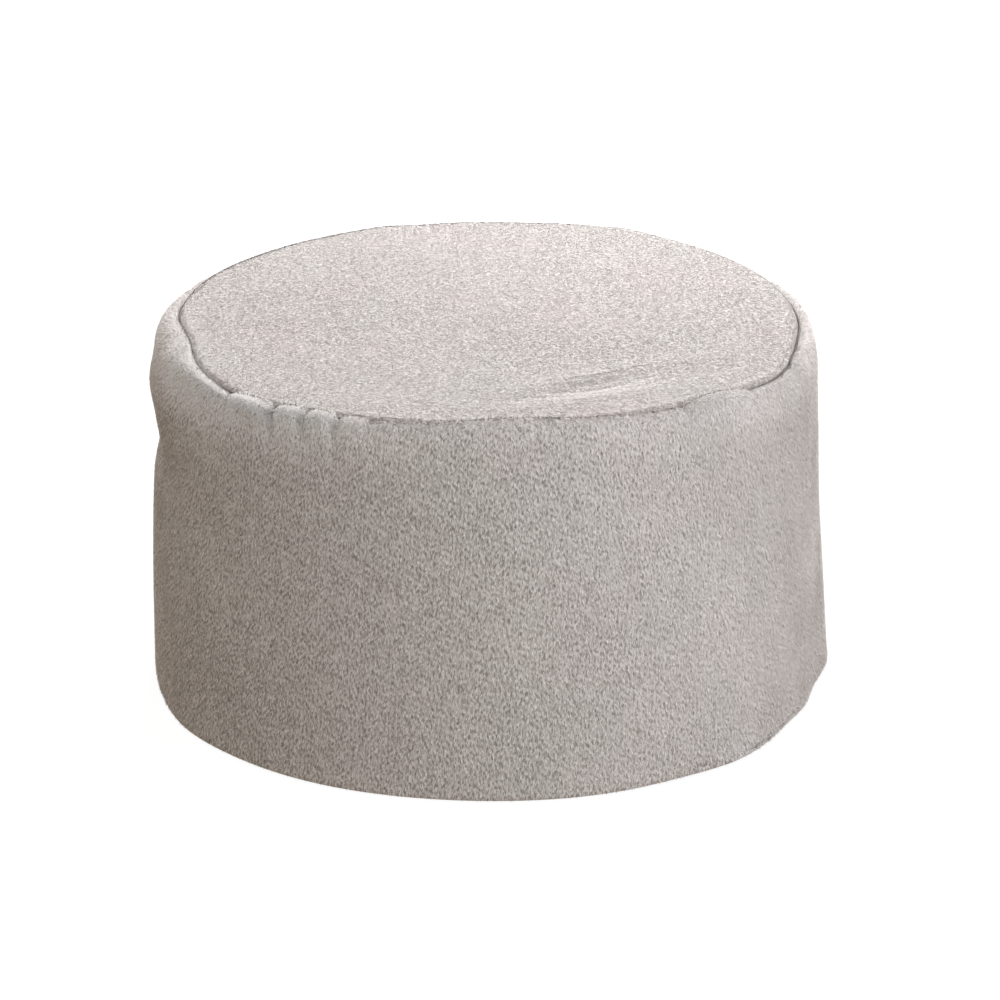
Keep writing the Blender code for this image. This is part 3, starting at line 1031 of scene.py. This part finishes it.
# Painted light on the rolled edge at the left
strand = strand + ROLL_PAINTED_LIGHT * rolled * bell(turn(tufts.angle, LIGHT_ANGLE), LIGHT_WIDTH)
strand = strand + TOP_PATCHES * drift(tufts.place, TOP_PATCH, rng)
strand = np.clip(strand + TOP_MOTTLE * drift(tufts.place, TOP_MOTTLE_WIDTH, rng), 0, 1)
length = rng.uniform(*TOP_LENGTH, tufts.count) * (1 - SEAM_THINNING * rolled)
width = rng.uniform(*TOP_WIDTH, tufts.count) * stout
rise = rng.uniform(*TOP_RISE, tufts.count) * TOP_PILE
tilt = rng.normal(0, TOP_TILT, (tufts.count, 2)) * (1 + ROUGH_TILT * rough[:, None])
pile("top_pile", tufts, length, width, rise, tilt, strand, top_pile_look)

# Loose pile along the crest, fuzzy against the seam
below_lip, above_seam = RIM_RINGS
crest = band_bed[len(band_bed) - len(LIP_DEGREES) - below_lip : len(band_bed) - above_seam]
over_seam = tight_gathers(angle_of_column)[1] / LOBE_OVERHANG
crowded = RIM_FEWEST + bell(turn(angle_of_column, RIM_ANGLE), RIM_WIDTH_AROUND) + RIM_OVER_LOBES * over_seam
thickening = np.clip(np.linspace(0, RIM_THICKENING, len(crest) - 1), 0, 1)[:, None]
tufts = Tufts(crest, int(RIM_STROKES * few), rng, thickening * crowded)
tufts.comb(tufts.place * [-1, -1, 0], rng.normal(0, RIM_STRAY, tufts.count))
tufts.upright = fluffed(tufts)
standing = STANDING + STANDING_MORE * bell(turn(tufts.angle, RIM_ANGLE), STANDING_WIDTH)
length = rng.uniform(*RIM_LENGTH, tufts.count)
width = rng.uniform(*RIM_WIDTH, tufts.count) * stout
rise = rng.uniform(*RIM_RISE, tufts.count) * BAND_PILE * standing
tilt = rng.normal(0, RIM_TILT, (tufts.count, 2))
# Painted light where the pile stands up at the crest
strand = rng.normal(RIM_SHADE, RIM_FLECKS, tufts.count) + CREST_PAINTED_LIGHT * tufts.upright
# Painted shade in the tucks
strand = np.clip(strand - TUCK_PAINTED_SHADE * tuck(tufts.place), 0, 1)
pile("rim_pile", tufts, length, width, rise, tilt, strand, band_pile_look)

# Camera, as the photo was taken
CAMERA_DISTANCE = 3.6
CAMERA_PITCH = 21.6
CAMERA_ROLL = 0.03
CAMERA_AIM = (0.0074, 0.0, 0.1455)
PIXELS_PER_METRE = 1217.7   # at the aim point
FRAME_PIXELS = 1000
SENSOR = 36.0

data = bpy.data.cameras.new("camera")
data.sensor_width = SENSOR
data.lens = SENSOR * PIXELS_PER_METRE * CAMERA_DISTANCE / FRAME_PIXELS
camera = bpy.data.objects.new("camera", data)
pitch = math.radians(CAMERA_PITCH)
camera.location = Vector(CAMERA_AIM) + CAMERA_DISTANCE * Vector((0, -math.cos(pitch), math.sin(pitch)))
camera.rotation_euler = (math.pi / 2 - pitch, math.radians(CAMERA_ROLL), 0)
bpy.context.scene.collection.objects.link(camera)
bpy.context.scene.camera = camera

# Floor: an over-lit white sweep, which keeps only a faint shadow
FLOOR_HALF = 8.0
FLOOR_GLOW = 0.88

floor_look = Look(
    "white floor", Base_Color=rgb(0.20, 0.20, 0.20), Roughness=0.9, Specular_IOR_Level=0.0,
    Emission_Color=rgb(1, 1, 1), Emission_Strength=FLOOR_GLOW,
)
corners = [(x * FLOOR_HALF, y * FLOOR_HALF, 0) for x, y in ((-1, -1), (1, -1), (1, 1), (-1, 1))]
floor = mesh_object("floor", corners, [(0, 1, 2, 3)], floor_look.material, smooth=False)
floor.visible_diffuse = False
floor.visible_glossy = False

# Soft boxes, and the room's own faint warm light
LIGHTS = [  # name, size, watts, place, colour
    ("right", 1.6, 54, (2.6, -1.2, 1.3), (0.93, 0.98, 1.09)),
    ("front", 1.6, 39, (0.3, -3.0, 1.6), (0.88, 1.00, 1.12)),
    ("rear", 1.2, 52, (0.4, 1.35, 1.25), (0.98, 0.99, 1.03)),
    ("left", 1.6, 28, (-1.8, 0.8, 2.6), (0.92, 1.00, 1.08)),
]
LIGHT_AIM = (0, 0, 0.15)    # the middle of the pouf
ROOM_COLOUR = (1.0, 0.80, 0.60)
ROOM_LIGHT = 0.34


def soft_light(name, size, power, place, colour):
    """A square soft box aimed at the pouf."""
    data = bpy.data.lights.new(name, "AREA")
    data.shape = "SQUARE"
    data.size = size
    data.energy = power
    data.color = colour
    light = bpy.data.objects.new(name, data)
    light.location = place
    light.rotation_euler = (Vector(LIGHT_AIM) - Vector(place)).to_track_quat("-Z", "Y").to_euler()
    bpy.context.scene.collection.objects.link(light)


for row in LIGHTS:
    soft_light(*row)

world = bpy.data.worlds.new("studio")
world.use_nodes = True
world.node_tree.nodes["Background"].inputs["Color"].default_value = rgb(*ROOM_COLOUR)
world.node_tree.nodes["Background"].inputs["Strength"].default_value = ROOM_LIGHT
bpy.context.scene.world = world
bpy.context.scene.view_settings.view_transform = "Standard"
